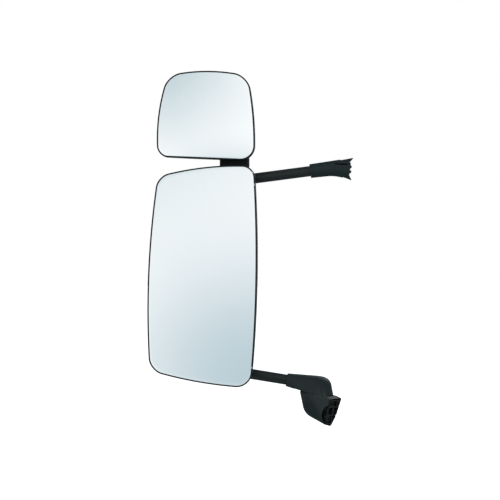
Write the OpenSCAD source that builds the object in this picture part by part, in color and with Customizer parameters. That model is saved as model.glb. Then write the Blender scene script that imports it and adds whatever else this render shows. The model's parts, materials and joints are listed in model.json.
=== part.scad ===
// Truck side mirror: a main mirror and a wide-angle mirror on one folding C-shaped arm.
// Units are millimetres. The origin is the centre of the foot's mounting face on the cab.
// +X points to the cab, the glasses face -Y and +Z is up.

/* [Cab bracket] */
// Lean of the fold axis towards the cab, in degrees
hinge_lean = 7.3; // [7:0.1:8]
// Turn of the mounting face towards the rear, in degrees
face_yaw = 27; // [24:1:30]
// Distance from the fold axis to the mounting face
face_reach = 41.5; // [41:0.5:42.5]
// Height of the fold parting plane above the middle of the mounting face
face_rise = 31.5; // [31:0.5:32.5]
// Radius of the round parting between foot and elbow
parting_r = 34; // [33.5:0.5:34.5]

/* [Arms] */
// Outside diameter of the bent arm tube
tube_d = 21; // [20:0.5:21]
// Wall of the arm tube
tube_wall = 2; // [1.5:0.5:2.5]
// Distance from the fold axis, at the parting, to the upright stretch of the tube
arm_reach = 166.6; // [164:0.2:172]
// Bend radius of the tube's middle line
bend_r = 42; // [40:1:43]
// Rise of the upper arm towards the cab, in degrees
upper_slope = 7.3; // [6.5:0.1:8]
// Drop of the lower arm towards the cab, in degrees
lower_slope = 9; // [8.5:0.1:9.5]

/* [Main mirror] */
// Height of the main mirror's middle above the mounting face
head_z = 275.1; // [274:0.1:277]
// Convex radius of the main glass
main_r = 1800; // [1200:100:2500]
// Depth of the main housing behind its rim
main_depth = 105; // [103:1:110]
// Thickness of each mirror glass
glass_t = 3; // [2:0.5:3]

/* [Wide-angle mirror] */
// Convex radius of the wide-angle glass
wide_r = 300; // [290:10:340]
// Depth of the wide-angle housing behind its rim
wide_depth = 75; // [74:1:80]

/* [Glass drive] */
// Distance of each jackscrew from the glass pivot
screw_arm = 38; // [38:0.5:39]
// Teeth of the wheel on each jackscrew nut
wheel_teeth = 18; // [18:1:18]
// Pitch radius of that wheel
wheel_r = 8; // [8:0.1:8]

/* [Hidden] */
$fn = 64;

// Frames and the arm's path
function lean_turn(v) = [v.x * cos(hinge_lean) + v.z * sin(hinge_lean), v.y,
    -v.x * sin(hinge_lean) + v.z * cos(hinge_lean)];
hinge = -lean_turn([face_reach * cos(face_yaw), -face_reach * sin(face_yaw), -face_rise]);
tube_r = tube_d / 2;
bore_r = tube_r - tube_wall;
arm_y = hinge.y;
post_x = hinge.x - arm_reach;
arm_lift = 17.2;
elbow_point = hinge + lean_turn([0, 0, arm_lift]);
low_corner_z = elbow_point.z + (elbow_point.x - post_x) * tan(lower_slope);
top_corner_z = head_z + 192.7;
low_turn = 90 - lower_slope;
top_turn = 90 - upper_slope;
low_tangent = bend_r * tan(low_turn / 2);
top_tangent = bend_r * tan(top_turn / 2);
pivot_along = (top_corner_z + (hinge.x - post_x) * tan(upper_slope) - hinge.z)
    / (cos(hinge_lean) - sin(hinge_lean) * tan(upper_slope));
upper_pivot = hinge + lean_turn([0, 0, pivot_along]);
upper_length = (upper_pivot.x - post_x) / cos(upper_slope);
lower_length = (elbow_point.x - post_x) / cos(lower_slope);
tube_low_gap = 16;   // from the fold axis to the tube's lower end
tube_top_gap = 26;   // from the upper pivot to the tube's upper end

// Head layout, measured from the upright tube at the main mirror's middle
main_mid = [-61, 0];
wide_mid = [-55, 323];
main_apex = -66;
wide_apex = -70;
rim_lead = 2;        // how far the rim stands in front of the glass edge
part_y = -12;        // parting between main housing and back cover
plate_y = -20;
plate_t = 3;
clamp_z = 100;
clamp_h = 36;
clamp_w = 48;
clamp_reach = 17;
liner_r = tube_r + 2;
main_pivot = [-66, -51, 0];
wide_pivot = [-55, -52.5, 323];
run = 0.05;          // radial running clearance
gap = 0.4;           // clearance between covers

// Outlines, as corners [across, up] in clockwise order with the bulge of each side that follows
main_corners = [[-91.8, 200.1], [103, 221], [96, -225.2], [-108, -190.8]];
main_bulges = [8, 9.5, 6.5, 9.5];
main_trims = [22, 23, 30, 25];
wide_corners = [[-77.2, 80.2], [84.2, 79], [97, -91.5], [-98.7, -83]];
wide_bulges = [8.5, 6, 1, 8];
wide_trims = [25, 26, 29, 21];
face_corners = [[-22, 26.5], [34.5, 27.5], [18.5, -9], [1, -29.5], [-28, -25]];
face_bulges = [0, 0, 0, 0, 0];
face_trims = [4, 4, 6, 5, 6];

function left_normal(a, b) = let (d = b - a) [-d.y, d.x] / norm(d);
function side_point(a, b, bulge, s) = a + (b - a) * s + left_normal(a, b) * 4 * bulge * s * (1 - s);
function bezier(a, b, c, d, q) = a * pow(1 - q, 3) + b * 3 * q * pow(1 - q, 2)
    + c * 3 * q * q * (1 - q) + d * pow(q, 3);
// A closed outline: bulged sides joined by rounded corners
function rounded_outline(corners, bulges, trims, corner_n = 6, side_n = 8) = let (n = len(corners)) [
    for (i = [0:n - 1]) let (
        before = corners[(i + n - 1) % n], here = corners[i], after = corners[(i + 1) % n],
        length = norm(after - here), start = trims[i] / length,
        stop = 1 - trims[(i + 1) % n] / length,
        a = side_point(before, here, bulges[(i + n - 1) % n], 1 - trims[i] / norm(here - before)),
        d = side_point(here, after, bulges[i], start))
        each [for (j = [0:corner_n - 1]) bezier(a, a + 0.55 * (here - a), d + 0.55 * (here - d), d,
                j / corner_n),
            for (j = [0:side_n - 1]) side_point(here, after, bulges[i],
                start + (stop - start) * j / side_n)]];
// The same outline moved inwards by an even distance
function inset(points, by) = let (n = len(points)) [for (i = [0:n - 1]) let (
        u = left_normal(points[(i + n - 1) % n], points[i]),
        v = left_normal(points[i], points[(i + 1) % n])) points[i] - by * (u + v) / (1 + u * v)];
function shrink(points, by, half) = [for (p = points)
    [p.x * (1 - by / half.x), p.y * (1 - by / half.y)]];
function sag(p, r) = r - sqrt(r * r - p.x * p.x - p.y * p.y);
// Stands an outline up at a depth, following the glass's dome by the share given
function stand(points, mid, y, r, share) = [for (p = points)
    [mid.x + p.x, y + share * sag(p, r), mid.y + p.y]];

main_outline = rounded_outline(main_corners, main_bulges, main_trims);
wide_outline = rounded_outline(wide_corners, wide_bulges, wide_trims);
face_outline = rounded_outline(face_corners, face_bulges, face_trims, 4, 1);

// Solids from rings of points. A loft is capped at its two ends, a loop closes on itself.
function ring_faces(n, k, next) = [for (j = [0:n - 1]) let (m = (j + 1) % n)
    each [[k * n + j, next * n + j, k * n + m], [k * n + m, next * n + j, next * n + m]]];
module loft(rings) {
    n = len(rings[0]);
    last = len(rings) - 1;
    polyhedron([for (r = rings) each r], [each [for (k = [0:last - 1]) each ring_faces(n, k, k + 1)],
        [for (j = [0:n - 1]) j], [for (j = [n - 1:-1:0]) last * n + j]], convexity = 8);
}
module loft_loop(rings) {
    n = len(rings[0]);
    count = len(rings);
    polyhedron([for (r = rings) each r],
        [for (k = [0:count - 1]) each ring_faces(n, k, (k + 1) % count)], convexity = 8);
}

module at_hinge() { translate(hinge) rotate([0, hinge_lean, 0]) children(); }
module at_face() { rotate([0, hinge_lean, 0]) rotate([0, 0, -face_yaw]) children(); }
module at_upper_pivot() { translate(upper_pivot) rotate([0, hinge_lean, 0]) children(); }
module at_head() { translate([post_x, arm_y, head_z]) children(); }
// +Z of the children runs along the lower arm, away from the fold axis
module along_lower_arm() { translate(elbow_point) rotate([0, lower_slope - 90, 0]) children(); }
// +Z of the children runs along the upper arm, away from the upper pivot
module along_upper_arm() { translate(upper_pivot) rotate([0, -90 - upper_slope, 0]) children(); }
module tube(outer, inner, h) {
    difference() {
        cylinder(r = outer, h = h);
        translate([0, 0, -1]) cylinder(r = inner, h = h + 2);
    }
}
// A cylinder from a to b along Y
module pin_y(r, a, b) { translate([0, b, 0]) rotate([90, 0, 0]) cylinder(r = r, h = b - a); }
module box(low, high) { translate(low) cube(high - low); }
module hexagon(r, h) { cylinder(r = r, h = h, $fn = 6); }

// ---- Cab bracket: the fixed part ----
bolt_places = [[-11, 16], [19, 17], [-15, -14]];
bolt_hole_r = 3.4;
bolt_depth = 12;
// Pockets in the mounting face, as corners [across, up], and in its near side, as [low, high]
pockets = [[3, 12, 11, 21], [-7, -23, -2, -8], [3, -14, 9, -7], [-19, -5, -8, 8]];
side_pockets = [[-20, -12], [-8, 2], [6, 16]];
relief = 6;          // depth of the face behind its rim, bosses and ribs
boss_r = 6.2;
rib_half = 1.4;
web_low = 13;
pad_t = 14;
pad_step = 6;        // how far the pad keeps its full outline behind the face
boss_top = -2;
boss_low = -20;
pin_r = 8;
bush_r = 11;
connector_low = [-22, 2.5, -4];
connector_high = [-3, 11.5, 9];

// A slab of the face outline, from x = a to b in the face's own frame
module face_slab(by, a, b) {
    translate([a, 0, 0]) rotate([90, 0, 90]) linear_extrude(b - a) offset(delta = -by)
        polygon(face_outline);
}
module foot_casting() color("dimgray") at_face() difference() {
    union() {
        face_slab(3.2, -pad_step, 0);
        face_slab(6.5, -pad_t, -pad_step + 0.5);
        translate([-face_reach, 0, face_rise + boss_low]) cylinder(r = 19, h = boss_top - boss_low);
        box([-face_reach, -16, web_low], [-pad_t + 1, 16, web_low + 8]);
        for (y = [-10, 14]) translate([0, y, 0]) rotate([90, 0, 0]) linear_extrude(4)
            polygon([[-pad_t + 1, web_low + 4], [-pad_t + 1, -14], [-24, web_low - 2], [-24, web_low + 4]]);
    }
    translate([-face_reach, 0, -20]) cylinder(r = bush_r, h = 80);
    for (p = bolt_places) translate([-bolt_depth, p.x, p.y]) rotate([0, 90, 0])
        cylinder(r = bolt_hole_r, h = bolt_depth + 1);
    difference() {
        face_slab(5.4, -relief, 1);
        for (p = bolt_places) translate([-pad_t, p.x, p.y]) rotate([0, 90, 0]) cylinder(r = boss_r, h = 20);
        box([-pad_t, -rib_half, -30], [2, rib_half, 30]);
        for (z = [-6.5, 10]) box([-pad_t, -30, z - rib_half], [2, 30, z + rib_half]);
    }
    for (p = pockets) box([-pad_t + 3, p[0], p[1]], [1, p[2], p[3]]);
    for (p = side_pockets) box([-pad_t + 2, -40, p[0]], [-2, -19.5, p[1]]);
    box(connector_low - [1, 0.2, 0.2], connector_high + [9, 0.2, 0.2]);
}
arch_mid = [37.5, -36.5];
arch_half = [22, 22];
module foot_form(by, open) {
    $fn = 32;
    hull() {
        translate([0, 0, -2]) cylinder(r = parting_r - by, h = 1.4 + open);
        translate([5, -4, -20]) sphere(r = 31 - by);
        rotate([0, 0, -face_yaw]) translate([face_reach, 0, -face_rise]) face_slab(by, -3, -0.5 + open);
    }
}
module foot_cover() color([0.13, 0.14, 0.14]) at_hinge() difference() {
    foot_form(0, 0);
    foot_form(2.5, 2);
    translate([-60, -60, -0.6]) cube([140, 120, 20]);
    rotate([0, 0, -face_yaw]) translate([face_reach, 15, -face_rise - 9]) rotate([30, 0, 0])
        cube([10, 8, 3], center = true);
    // arched opening in the near wall, beside the mounting face
    translate([arch_mid.x, -60, arch_mid.y]) rotate([-90, 0, 0]) scale([arch_half.x, arch_half.y, 1])
        cylinder(r = 1, h = 35);
}
module foot_connector() color([0.05, 0.05, 0.06]) at_face() difference() {
    box(connector_low, connector_high);
    for (z = [-1, 2.5, 6], y = [5, 9]) translate([-12, y, z]) rotate([0, 90, 0])
        cylinder(r = 1.1, h = 20);
}
module hinge_bush() color("ivory") at_hinge() translate([0, 0, boss_low])
    tube(bush_r, pin_r + run, boss_top - boss_low);
module thrust_washer() color("ivory") at_hinge() translate([0, 0, boss_top]) tube(22, pin_r + 0.2, 2);

// ---- Folding arm ----
pin_low = -41;
nut_low = -40;
cup_low = -35;
spring_low = -33;
module hinge_pin() color("silver") at_hinge() difference() {
    union() {
        translate([0, 0, pin_low]) cylinder(r = pin_r, h = 26 - pin_low);
        translate([0, 0, 26]) cylinder(r = 10, h = 3.5);
    }
    translate([0, 0, pin_low - 1]) cylinder(r = 4, h = 90);
}
spring_turns = 3;
spring_wire = 2.6;
spring_r = 12.2;
spring_steps = 20;
spring_h = boss_low - spring_low - spring_wire - 0.6;
module detent_spring() color("gray") at_hinge() loft([for (k = [0:spring_turns * spring_steps]) let (
        a = 360 * k / spring_steps,
        z = spring_low + spring_wire / 2 + 0.1 + spring_h * k / (spring_turns * spring_steps))
        [for (j = [0:7]) let (
            r = spring_r + spring_wire / 2 * cos(45 * j)) [r * cos(a), r * sin(a),
            z - spring_wire / 2 * sin(45 * j)]]]);
module spring_cup() color("silver") at_hinge() translate([0, 0, cup_low])
    tube(15, pin_r, spring_low - cup_low);
module hinge_nut() color("silver") at_hinge() difference() {
    translate([0, 0, nut_low]) hexagon(11.5, cup_low - nut_low);
    translate([0, 0, nut_low - 1]) cylinder(r = pin_r, h = 10);
}
screw_along = 33;
screw_r = 2;
module knuckle_casting() color("dimgray") difference() {
    union() {
        at_hinge() {
            translate([0, 0, 0.2]) cylinder(r = 24, h = 5);
            cylinder(r = 16, h = 26);
        }
        along_lower_arm() translate([0, 0, 6]) cylinder(r = 12.8, h = 34);
    }
    at_hinge() translate([0, 0, -1]) cylinder(r = pin_r, h = 40);
    at_hinge() translate([0, 0, -1]) cylinder(r = 30, h = 1.2);
    at_hinge() translate([0, 0, 26]) cylinder(r = 10.4, h = 20);
    along_lower_arm() translate([0, 0, tube_low_gap]) cylinder(r = tube_r, h = 40);
    along_lower_arm() translate([0, 0, screw_along]) rotate([90, 0, 0]) translate([0, 0, -20])
        cylinder(r = screw_r, h = 40);
}
// Two grub screws, one from each side, that clamp the tube in the knuckle's socket
module tube_screws() color("silver") along_lower_arm() for (s = [-1, 1])
    translate([0, 0, screw_along]) rotate([s * 90, 0, 0]) difference() {
        translate([0, 0, tube_r]) cylinder(r = screw_r, h = 3);
        translate([0, 0, tube_r + 1.5]) hexagon(1.2, 3);
    }
collar_r = 13.2;
elbow_length = 64;
elbow_wall = 2.2;
shoulder = [9, 15.2];   // middle of the elbow's rounded shoulder: [from the fold axis, up]
shoulder_round = 19.6;
module elbow_form(by, open) {
    $fn = 32;
    low = 0.6 - open;
    hull() {
        translate([0, 0, low]) cylinder(r = parting_r - by, h = 1 + open);
        rotate_extrude() intersection() {
            translate(shoulder) circle(shoulder_round - by);
            translate([0, low]) square(60);
        }
        translate([0, 0, arm_lift]) rotate([0, lower_slope - hinge_lean - 90, 0])
            translate([0, 0, elbow_length - 6]) cylinder(r = collar_r - by, h = 6 + open);
    }
}
module elbow_cover() color([0.15, 0.17, 0.17]) at_hinge() difference() {
    elbow_form(0, 0);
    elbow_form(elbow_wall, 3);
    translate([-80, -60, -39.4]) cube([160, 120, 40]);
}

// The bent tube's five stretches, hollow where inner is above zero
module straight(outer, inner, h) {
    if (inner > 0) tube(outer, inner, h);
    else cylinder(r = outer, h = h);
}
bend_thin = 0.03;    // how much each bend is thinned at both its surfaces
bend_lap = 0.7;      // how far each bend reaches into the straights, in degrees
module bend(outer, inner, turn, start) {
    rotate([90, 0, 0]) rotate([0, 0, start - bend_lap]) rotate_extrude(angle = turn + 2 * bend_lap)
        translate([bend_r, 0]) difference() {
            circle(outer - bend_thin);
            if (inner > 0) circle(inner + bend_thin);
        }
}
module lower_run(outer, inner, start) {
    translate([post_x + bend_r, arm_y, low_corner_z + low_tangent]) bend(outer, inner, low_turn, 180);
    along_lower_arm() translate([0, 0, start]) straight(outer, inner, lower_length - low_tangent - start);
}
exit_z = -30;        // height of the lead's exit from the tube, from the main mirror's middle
exit_r = 5;
module arm_tube() color([0.12, 0.13, 0.13]) {
    lower_run(tube_r, bore_r, tube_low_gap);
    difference() {
        translate([post_x, arm_y, low_corner_z + low_tangent])
            tube(tube_r, bore_r, top_corner_z - top_tangent - low_corner_z - low_tangent);
        at_head() translate([0, 0, exit_z]) rotate([0, -90, 0]) cylinder(r = exit_r, h = 30);
    }
    translate([post_x + bend_r, arm_y, top_corner_z - top_tangent])
        bend(tube_r, bore_r, top_turn, 180 - top_turn);
    along_upper_arm() translate([0, 0, tube_top_gap])
        tube(tube_r, bore_r, upper_length - top_tangent - tube_top_gap);
}
module stop_collars() color("silver") at_head() {
    for (z = [-clamp_z - clamp_h / 2 - 8, clamp_z + clamp_h / 2 + 1]) translate([0, 0, z]) difference() {
        cylinder(r = 15, h = 7);
        translate([0, 0, -1]) cylinder(r = tube_r, h = 9);
        translate([0, -1, -1]) cube([20, 2, 9]);
    }
}
eye_low = -16;
eye_h = 25;
eye_r = 9.6;
eye_bore = 7.8;
upper_bore_r = 6;
module upper_fitting() color("dimgray") difference() {
    union() {
        at_upper_pivot() translate([0, 0, eye_low]) cylinder(r = eye_r, h = eye_h);
        along_upper_arm() {
            cylinder(r = tube_r - 1.5, h = tube_top_gap);
            cylinder(r = bore_r, h = tube_top_gap + 18);
        }
    }
    at_upper_pivot() translate([0, 0, eye_low - 5]) cylinder(r = eye_bore, h = eye_h + 10);
}
module upper_bush() color([0.08, 0.08, 0.08]) at_upper_pivot() translate([0, 0, eye_low])
    tube(eye_bore, upper_bore_r, eye_h);

// Shroud at the cab end of the upper arm: round on the tube, flared and slit at its mouth
boot_length = 72.7;
boot_mouth = 19;
mouth_lean = 0.2;
boot_steps = 12;
// Edge of the mouth on each side flap, from the top down: fingers with gaps between them
finger_edge = [[17.9, 14.8], [8.6, 4.6], [13, -3.4], [7.6, -6.8], [10.9, -13], [4.6, -16.6],
    [8.6, -31]];
function boot_ring(q, by) = let (
        x = -boot_length + q * (boot_length + boot_mouth),
        flare = pow(max(0, (q - 0.4) / 0.6), 1.7),
        up = 14.2 + 2 * q - by, down = 14.1 + 2.6 * q + 16.7 * flare - by,
        half = 14 + 2 * q + 4.5 * flare - by, mid = (up - down) / 2, tall = (up + down) / 2,
        square = 1 - 0.25 * q)
    [for (j = [0:31]) let (a = 360 * j / 32,
            y = half * sign(cos(a)) * pow(abs(cos(a)), square),
            z = mid + tall * sign(sin(a)) * pow(abs(sin(a)), square)) [x + q * mouth_lean * z, y, z]];
module in_arm_frame() { translate(upper_pivot) rotate([0, -upper_slope, 0]) children(); }
module upper_boot() color([0.15, 0.18, 0.18]) in_arm_frame() difference() {
    loft([for (k = [0:boot_steps]) boot_ring(k / boot_steps, 0)]);
    loft([for (k = [1:boot_steps + 1]) boot_ring(k / boot_steps, 2.4)]);
    translate([-boot_length - 1, 0, 0]) rotate([0, 90, 0]) cylinder(r = tube_r + 0.3, h = 12);
    rotate([90, 0, 0]) translate([0, 0, -50]) linear_extrude(100)
        polygon(concat([[40, 40], [17.9, 40]], finger_edge, [[8.6, -45], [40, -45]]));
    // room above and below the pivot for the cab's bolt
    translate([-9, -9, -45]) cube([50, 18, 90]);
    // slit that parts the upper finger of each side flap from the rest
    rotate([90, 0, 0]) translate([0, 0, -50]) linear_extrude(100)
        polygon([[-22.2, 8.6], [-22.2, 7.2], [6.4, 1.6], [6.4, 4.6]]);
}

// Wiring inside the tube, from the knuckle to the exit in the upright stretch
lead_r = 3;
lead_bend = 8;
module arm_harness() color([0.03, 0.03, 0.03]) {
    lower_run(lead_r, 0, tube_low_gap + 2);
    translate([0, arm_y, 0]) {
        translate([post_x, 0, low_corner_z + low_tangent])
            cylinder(r = lead_r, h = head_z + exit_z - lead_bend - low_corner_z - low_tangent);
        translate([post_x - lead_bend, 0, head_z + exit_z - lead_bend]) rotate([90, 0, 0])
            rotate_extrude(angle = 90) translate([lead_bend, 0]) circle(lead_r);
        translate([post_x - lead_bend, 0, head_z + exit_z]) rotate([0, -90, 0])
            cylinder(r = lead_r, h = 14);
    }
}
module harness_grommet() color([0.02, 0.02, 0.02]) at_head() translate([0, 0, exit_z])
    rotate([0, -90, 0]) difference() {
        union() {
            translate([0, 0, bore_r]) cylinder(r = exit_r, h = tube_wall + 2);
            translate([0, 0, tube_r + 0.6]) cylinder(r = 6.5, h = 3);
        }
        cylinder(r = lead_r, h = 30);
        translate([-20, 0, 0]) rotate([0, 90, 0]) cylinder(r = bore_r, h = 40);
    }

// ---- Head: everything that swivels on the upright tube ----
bolt_x = 17;
plate_low = [-141, -165];
plate_high = [24, 165];
case_low = [-50, -50];
case_high = [14, 36];
case_wall = 2;
lug_places = [[-56, -30], [-56, 20], [20, -30], [20, 20]];
// Bosses in the housing ring: [across, up, how far across its boss reaches to meet the wall]
housing_fix = [[-134, 135, -158.5], [-134, -120, -169.5], [17, 140, 44.5], [17, -140, 40.8]];
cover_fix = [[-121, 110], [-121, -135], [-42, 100], [-42, -140]];
neck_x = [-25, -12];
neck_y = [-14, -3];
neck_bolt_z = [134, 156];

module plate_hole(x, z, r) { translate([x, 0, z]) pin_y(r, plate_y - 10, plate_y + 10); }
module carrier_plate() color("silver") at_head() difference() {
    translate([0, plate_y + plate_t, 0]) rotate([90, 0, 0]) linear_extrude(plate_t)
        polygon(rounded_outline([[plate_low.x, plate_high.y], [plate_high.x, plate_high.y],
            [plate_high.x, plate_low.y], [plate_low.x, plate_low.y]], [0, 0, 0, 0],
            [35, 8, 8, 35], 5, 1));
    box([main_pivot.x + case_low.x - gap, plate_y - 1, case_low.y - gap],
        [main_pivot.x + case_high.x + gap, plate_y + 5, case_high.y + gap]);
    for (z = [-clamp_z, clamp_z], x = [-bolt_x, bolt_x]) plate_hole(x, z, 3.2);
    for (p = lug_places) plate_hole(main_pivot.x + p.x, p.y, 2);
    for (p = concat(housing_fix, cover_fix)) plate_hole(p.x, p.y, 2.2);
    for (z = neck_bolt_z) plate_hole(-19.5, z, 3.2);
    for (z = [-75, 60], x = [-105, -60]) translate([x, 0, z]) pin_y(15, plate_y - 1, plate_y + 5);
}
// One half of a tube clamp: side is -1 for the saddle on the plate and 1 for the cap behind it
module clamp_half(z, side) {
    at_head() translate([0, 0, z - clamp_h / 2]) difference() {
        box([-clamp_w / 2, side < 0 ? -clamp_reach : 0.3, 0],
            [clamp_w / 2, side < 0 ? -0.3 : clamp_reach, clamp_h]);
        translate([0, 0, -1]) cylinder(r = liner_r, h = clamp_h + 2);
        for (x = [-bolt_x, bolt_x]) translate([x, 0, clamp_h / 2]) pin_y(3.2, -30, 30);
        for (x = [-1, 1]) translate([x * 24, side * 24, -1]) rotate([0, 0, 45])
            translate([-8, -8, 0]) cube([16, 16, clamp_h + 2]);
    }
}
module upper_saddle() color("dimgray") clamp_half(clamp_z, -1);
module lower_saddle() color("dimgray") clamp_half(-clamp_z, -1);
module upper_clamp_cap() color("dimgray") clamp_half(clamp_z, 1);
module lower_clamp_cap() color("dimgray") clamp_half(-clamp_z, 1);
module swivel_liners() color("ivory") at_head()
    for (z = [-clamp_z, clamp_z]) translate([0, 0, z - clamp_h / 2]) tube(liner_r, tube_r + run, clamp_h);
module clamp_bolts() color("silver") at_head() for (z = [-clamp_z, clamp_z], x = [-bolt_x, bolt_x])
    translate([x, 0, z]) {
        pin_y(3, plate_y, clamp_reach + 6);
        translate([0, plate_y, 0]) rotate([90, 0, 0]) hexagon(5.6, 4);
    }
module clamp_nuts() color("silver") at_head() for (z = [-clamp_z, clamp_z], x = [-bolt_x, bolt_x])
    translate([x, clamp_reach, z]) rotate([-90, 0, 0]) difference() {
        hexagon(5.6, 5);
        translate([0, 0, -1]) cylinder(r = 3, h = 8);
    }

// Housing walls: each station is [inset, depth, share of the dome]
rim_y = main_apex - rim_lead;
main_outer = [[0.5, rim_y, 1], [0.1, rim_y + 1.5, 1], [0, -46, 0.55], [0, -30, 0.2],
    [1, part_y - 0.2, 0]];
main_inner = [[2.6, part_y - 0.2, 0], [1.9, -30, 0.2], [1.6, -46, 0.55], [1.5, rim_y + 6, 1],
    [1.5, rim_y, 1]];
function main_station(s) = stand(inset(main_outline, s[0]), main_mid, s[1], main_r, s[2]);
slot_half = 23;
slot_up = 15;
// Slots through which the two arms leave the head, with room to swivel
module arm_slots() {
    for (s = [[top_corner_z - head_z, upper_slope], [low_corner_z - head_z, -lower_slope]])
        translate([0, 0, s[0]]) rotate([0, -s[1], 0]) box([12, -slot_half, -slot_up],
            [80, slot_half, slot_up]);
}
neck_low = [-30, -17, 210];
neck_high = [30, 2, 252];
module neck_block(by, low, high) {
    translate([0, (neck_low.y + neck_high.y) / 2, low]) linear_extrude(high - low)
        polygon(rounded_outline([[neck_low.x - by, 9.5 + by], [neck_high.x + by, 9.5 + by],
            [neck_high.x + by, -9.5 - by], [neck_low.x - by, -9.5 - by]], [0, 0, 0, 0],
            [6, 6, 6, 6], 5, 1));
}
module main_housing() color([0.07, 0.07, 0.08]) at_head() {
    difference() {
        loft_loop([for (s = concat(main_outer, main_inner)) main_station(s)]);
        arm_slots();
        neck_block(gap, 200, 300);
    }
    for (p = housing_fix) difference() {
        box([min(p[2], p.x - 6), plate_y + plate_t, p.y - 7],
            [max(p[2], p.x + 6), part_y - 0.6, p.y + 7]);
        translate([p.x, 0, p.y]) pin_y(1.6, -30, 0);
    }
}
cover_inset = 70;
cover_steps = 9;
function cover_ring(wall, k) = let (a = 90 * k / cover_steps)
    stand(shrink(inset(main_outline, 1 + wall), cover_inset * (1 - cos(a)), [109, 221]), main_mid,
        part_y + 0.2 + (main_depth - 51.2 - wall) * sin(a), main_r, 0);
module cover_bosses(back) {
    for (p = cover_fix) translate([p.x, 0, p.y]) pin_y(5, plate_y + plate_t, back);
}
module main_back_cover() color([0.07, 0.07, 0.08]) at_head() difference() {
    union() {
        difference() {
            loft([for (k = [0:cover_steps]) cover_ring(0, k)]);
            difference() {
                loft([[for (p = cover_ring(2.3, 0)) p - [0, 3, 0]],
                    for (k = [0:cover_steps]) cover_ring(2.3, k)]);
                cover_bosses(60);
            }
        }
        cover_bosses(20);
    }
    arm_slots();
    neck_block(gap, 200, 300);
    for (p = cover_fix) translate([p.x, 0, p.y]) pin_y(1.6, -30, 0);
}
// A pan-head screw along Y whose head rests on depth y
module screw_y(head_r, shank_r, y, length) {
    difference() {
        union() {
            pin_y(head_r, y - 2.5, y);
            pin_y(shank_r, y - 0.5, y + length);
        }
        for (a = [0, 90]) rotate([0, a, 0]) box([-head_r * 0.6, y - 3, -0.5],
            [head_r * 0.6, y - 1.3, 0.5]);
    }
}
module housing_screws() color("silver") at_head() for (p = housing_fix) translate([p.x, 0, p.y])
    screw_y(4, 1.6, plate_y, 7);
module back_cover_screws() color("silver") at_head() for (p = cover_fix) translate([p.x, 0, p.y])
    screw_y(4, 1.6, plate_y, 16);

wide_fix = [[-20, -20], [20, -20], [20, 20], [-20, 20]];
pad_y = -14;
pad_depth = 6;
module neck_bracket() color("dimgray") at_head() difference() {
    union() {
        box([neck_x[0], neck_y[0], 126], [neck_x[1], neck_y[1], 262]);
        box([neck_x[0], plate_y + plate_t, 126], [neck_x[1], neck_y[0] + 1, 164]);
        translate([wide_mid.x, 0, wide_mid.y]) pin_y(33, pad_y, pad_y + pad_depth);
        translate([0, pad_y + pad_depth, 0]) rotate([90, 0, 0]) linear_extrude(pad_depth)
            polygon([[neck_x[0] - 8, 257], [neck_x[0], 253], [neck_x[1], 246], [neck_x[1], 262],
                [-30, 305], [-75, 300]]);
    }
    for (z = neck_bolt_z) translate([-19.5, 0, z]) pin_y(3, -30, 10);
    for (p = wide_fix) translate([wide_mid.x + p.x, 0, wide_mid.y + p.y]) pin_y(2.2, -30, 10);
}
module neck_bolts() color("silver") at_head() for (z = neck_bolt_z) translate([-19.5, 0, z]) {
    pin_y(3, plate_y, neck_y[1] - 2);
    translate([0, plate_y, 0]) rotate([90, 0, 0]) hexagon(5.6, 4);
}
module neck_cover() color([0.06, 0.06, 0.08]) at_head() difference() {
    neck_block(0, neck_low.z, neck_high.z);
    neck_block(-2, neck_low.z - 1, neck_high.z + 1);
}
wide_rim_y = wide_apex - rim_lead;
wide_turn_y = -22;   // where the wall turns into the rounded back
wide_inner = [[1.5, -44, 0.5], [1.2, wide_rim_y + 6, 1], [1.1, wide_rim_y, 1]];
wide_outer = [[0.3, wide_rim_y, 1], [0.1, wide_rim_y + 1.5, 1], [0, -44, 0.5]];
wide_inset = 38;
wide_steps = 7;
function wide_station(s) = stand(inset(wide_outline, s[0]), wide_mid, s[1], wide_r, s[2]);
function wide_back_ring(wall, k) = let (a = 90 * k / wide_steps)
    stand(shrink(inset(wide_outline, 0.8 + wall), wide_inset * (1 - cos(a)), [97, 88]), wide_mid,
        wide_turn_y + (wide_depth - 41 - wall) * sin(a), wide_r, 0);
module wide_housing() color([0.06, 0.06, 0.07]) at_head() difference() {
    union() {
        loft([for (k = [wide_steps:-1:0]) wide_back_ring(2, k), for (s = wide_inner) wide_station(s),
            for (s = wide_outer) wide_station(s), for (k = [0:wide_steps]) wide_back_ring(0, k)]);
        for (p = wide_fix) translate([wide_mid.x + p.x, 0, wide_mid.y + p.y])
            pin_y(4.5, pad_y + pad_depth, 11);
    }
    neck_block(gap, 190, neck_high.z + gap);
    for (p = wide_fix) translate([wide_mid.x + p.x, 0, wide_mid.y + p.y]) pin_y(1.6, -30, 6);
}
module wide_housing_screws() color("silver") at_head() for (p = wide_fix)
    translate([wide_mid.x + p.x, 0, wide_mid.y + p.y]) screw_y(3.6, 1.6, pad_y - 2, 16);

// ---- Glass pivots: a gimbal ring between a fixed pair of ears and the glass holder's pair ----
ring_r = 20;
ring_hole = 14;
ring_t = 6;
trunnion_r = 2.2;
trunnion_end = 26.4;
ear_in = 20.6;
ear_out = 26.6;
ear_half = 5;
ear_back = 3.8;
module gimbal_ring() {
    difference() {
        pin_y(ring_r, -ring_t / 2, ring_t / 2);
        pin_y(ring_hole, -ring_t, ring_t);
    }
    for (a = [0:90:270]) rotate([0, a, 0]) translate([0, 0, ring_r - 2])
        cylinder(r = trunnion_r, h = trunnion_end - ring_r + 2);
}
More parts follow.
